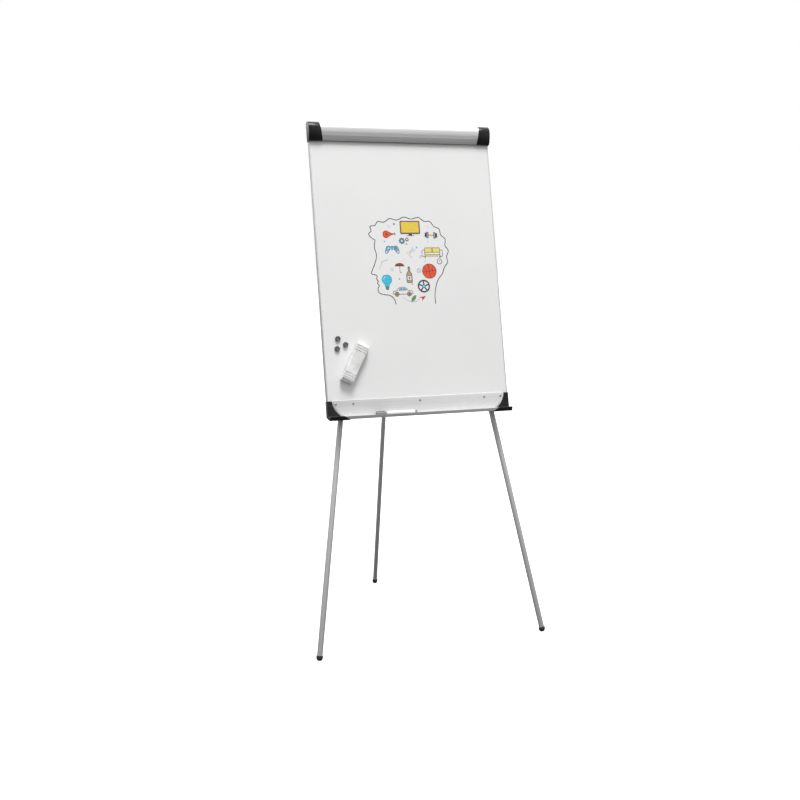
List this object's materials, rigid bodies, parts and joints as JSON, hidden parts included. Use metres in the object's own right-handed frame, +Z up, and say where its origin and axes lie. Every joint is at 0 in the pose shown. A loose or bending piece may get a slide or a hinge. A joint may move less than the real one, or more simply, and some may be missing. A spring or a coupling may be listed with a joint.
{
  "type": "flipchart easel",
  "caption": "Leaning whiteboard on splayed telescopic front legs and a hinged rear leg, with a sprung paper clamp and a pen tray.",
  "frame": {"origin": "on the floor, in the middle of the footprint box", "axes": "+Z up, +Y to the back (the rear leg's side), +X to the right as seen from the front"},
  "size_m": [0.8876, 0.7527, 1.8811],
  "materials": {
    "panel_white": "satin white lacquer",
    "board_core": "honeycomb board",
    "back_grey": "matt grey coating",
    "anodised_trim": "satin anodised",
    "clamp_aluminium": "satin anodised, fine drawn lines",
    "tray_aluminium": "satin anodised",
    "black_moulding": "fine-grained black moulding",
    "zinc_steel": "bright zinc plate",
    "leg_lacquer": "silver-grey powder coat",
    "leg_inner": "silver-grey powder coat, satin",
    "glide_nylon": "natural nylon",
    "foot_rubber": "matt black",
    "grip_rubber": "matt black",
    "magnet_grey": "dark grey, satin",
    "eraser_shell": "white moulding",
    "eraser_felt": "dense dark felt",
    "marker_white": "white",
    "marker_grey": "grey"
  },
  "bodies": {
    "board": {"back_sheet": "back_grey", "clamp_ear_left": "zinc_steel", "clamp_ear_right": "zinc_steel", "clamp_pin_left": "zinc_steel", "clamp_pin_right": "zinc_steel", "clamp_spring_left": "zinc_steel", "clamp_spring_right": "zinc_steel", "corner_cap_left": "black_moulding", "corner_cap_right": "black_moulding", "header_rail": "anodised_trim", "hook_rail": "anodised_trim", "leg_guide_left": "zinc_steel", "leg_guide_right": "zinc_steel", "leg_pivot_bolt_left": "zinc_steel", "leg_pivot_bolt_right": "zinc_steel", "leg_pivot_bracket_left": "zinc_steel", "leg_pivot_bracket_right": "zinc_steel", "panel_core": "board_core", "pen_tray": "tray_aluminium", "rear_hinge_bracket": "zinc_steel", "rear_hinge_pin": "zinc_steel", "side_trim_left": "anodised_trim", "side_trim_right": "anodised_trim", "tray_screws": "zinc_steel", "writing_panel": "panel_white"},
    "clamp": {"clamp_bar": "clamp_aluminium", "clamp_end_cap_left": "black_moulding", "clamp_end_cap_right": "black_moulding", "clamp_grip_strip": "grip_rubber"},
    "pad_hook_left": {"pad_hook_left": "glide_nylon"},
    "pad_hook_right": {"pad_hook_right": "glide_nylon"},
    "eraser": {"eraser_body": "eraser_shell", "eraser_felt": "eraser_felt"},
    "marker": {"marker_barrel": "marker_white", "marker_cap": "marker_grey", "marker_plug": "marker_grey"},
    "magnet_upper": {"magnet_upper": "magnet_grey"},
    "magnet_middle": {"magnet_middle": "magnet_grey"},
    "magnet_lower": {"magnet_lower": "magnet_grey"},
    "front_leg_left": {"front_leg_left_tube": "leg_lacquer", "front_leg_left_top_cap": "black_moulding", "front_leg_left_collar": "black_moulding"},
    "front_leg_left_extension": {"front_leg_left_inner_tube": "leg_inner", "front_leg_left_glide_bush": "glide_nylon", "front_leg_left_foot": "foot_rubber"},
    "front_leg_left_knob": {"front_leg_left_knob": "black_moulding"},
    "front_leg_right": {"front_leg_right_tube": "leg_lacquer", "front_leg_right_top_cap": "black_moulding", "front_leg_right_collar": "black_moulding"},
    "front_leg_right_extension": {"front_leg_right_inner_tube": "leg_inner", "front_leg_right_glide_bush": "glide_nylon", "front_leg_right_foot": "foot_rubber"},
    "front_leg_right_knob": {"front_leg_right_knob": "black_moulding"},
    "rear_leg": {"rear_leg_tube": "leg_lacquer", "rear_leg_top_cap": "black_moulding", "rear_leg_collar": "black_moulding"},
    "rear_leg_extension": {"rear_leg_inner_tube": "leg_inner", "rear_leg_glide_bush": "glide_nylon", "rear_leg_foot": "foot_rubber"},
    "rear_leg_knob": {"rear_leg_knob": "black_moulding"}
  },
  "joints": [
    {"name": "clamp_hinge", "type": "hinge", "parent": "board", "child": "clamp", "pos_m": [0, 0.04692, 1.87118], "axis": [-1, 0, 0], "range_deg": [0, 45], "stiffness_Nm_per_rad": 0.6, "springref_deg": -20.05},
    {"name": "pad_hook_left_slide", "type": "slide", "parent": "board", "child": "pad_hook_left", "axis": [1, 0, 0], "range_m": [-0.025, 0.15]},
    {"name": "pad_hook_right_slide", "type": "slide", "parent": "board", "child": "pad_hook_right", "axis": [-1, 0, 0], "range_m": [-0.025, 0.15]},
    {"name": "front_leg_left_fold", "type": "hinge", "parent": "board", "child": "front_leg_left", "pos_m": [-0.1391, 0.04462, 1.74175], "axis": [0, -0.9733, 0.2297], "range_deg": [0, 9.34]},
    {"name": "front_leg_left_length", "type": "slide", "parent": "front_leg_left", "child": "front_leg_left_extension", "axis": [0.1623, 0.2267, 0.9604], "range_m": [0, 0.65]},
    {"name": "front_leg_left_lock", "type": "hinge", "parent": "front_leg_left", "child": "front_leg_left_knob", "pos_m": [-0.29292, -0.17025, 0.83133], "axis": [0, 0.9733, -0.2297], "range_deg": [0, 270]},
    {"name": "front_leg_right_fold", "type": "hinge", "parent": "board", "child": "front_leg_right", "pos_m": [0.1391, 0.04462, 1.74175], "axis": [0, 0.9733, -0.2297], "range_deg": [0, 9.34]},
    {"name": "front_leg_right_length", "type": "slide", "parent": "front_leg_right", "child": "front_leg_right_extension", "axis": [-0.1623, 0.2267, 0.9604], "range_m": [0, 0.65]},
    {"name": "front_leg_right_lock", "type": "hinge", "parent": "front_leg_right", "child": "front_leg_right_knob", "pos_m": [0.29292, -0.17025, 0.83133], "axis": [0, 0.9733, -0.2297], "range_deg": [0, 270]},
    {"name": "rear_leg_swing", "type": "hinge", "parent": "board", "child": "rear_leg", "pos_m": [0, 0.05778, 1.76484], "axis": [-1, 0, 0], "range_deg": [0, 23.23]},
    {"name": "rear_leg_length", "type": "slide", "parent": "rear_leg", "child": "rear_leg_extension", "axis": [0, -0.1728, 0.985], "range_m": [0, 0.68]},
    {"name": "rear_leg_lock", "type": "hinge", "parent": "rear_leg", "child": "rear_leg_knob", "pos_m": [0, 0.22504, 0.81141], "axis": [0, 0.985, 0.1728], "range_deg": [0, 270]},
    {"name": "magnet_upper_lift", "type": "slide", "parent": "board", "child": "magnet_upper", "axis": [0, -0.9733, 0.2297], "range_m": [0, 0.06]},
    {"name": "magnet_middle_lift", "type": "slide", "parent": "board", "child": "magnet_middle", "axis": [0, -0.9733, 0.2297], "range_m": [0, 0.06]},
    {"name": "magnet_lower_lift", "type": "slide", "parent": "board", "child": "magnet_lower", "axis": [0, -0.9733, 0.2297], "range_m": [0, 0.06]},
    {"name": "eraser_lift", "type": "slide", "parent": "board", "child": "eraser", "axis": [0, -0.9733, 0.2297], "range_m": [0, 0.08]},
    {"name": "marker_lift", "type": "slide", "parent": "board", "child": "marker", "axis": [0, 0, 1], "range_m": [0, 0.08]}
  ]
}
